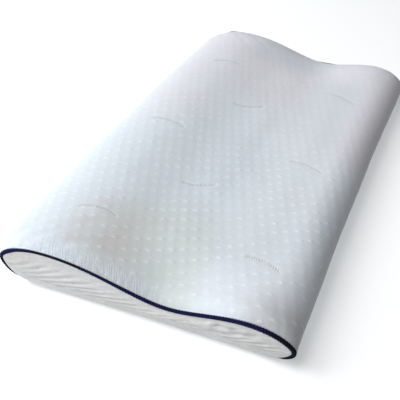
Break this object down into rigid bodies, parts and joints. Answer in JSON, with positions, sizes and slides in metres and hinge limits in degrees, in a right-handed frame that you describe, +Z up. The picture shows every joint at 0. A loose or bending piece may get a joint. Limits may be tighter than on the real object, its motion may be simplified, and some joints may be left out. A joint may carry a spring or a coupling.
{
  "type": "contour cervical pillow",
  "caption": "Contour pillow of wave section with a high and a low lobe, knitted wrap cover, flat underside and end panels edged with piping.",
  "frame": {"origin": "centre of the flat underside (bottom centre of the bounding box)", "axes": "+X along the pillow's length, from the near end in the picture to the far end; +Y across, towards the high lobe; +Z up, away from the flat underside"},
  "size_m": [0.5592, 0.3036, 0.0552],
  "materials": {
    "knit_cover": "white knitted cloth with a fine raised pattern, matt with a soft sheen",
    "end_cloth": "off-white knitted cloth, matt",
    "navy_piping": "dark navy twisted cord, matt"
  },
  "bodies": {
    "root": {"pillow_body": "knit_cover", "end_panel_near": "end_cloth", "end_panel_far": "end_cloth", "piping_near": "navy_piping", "piping_far": "navy_piping"}
  },
  "joints": []
}
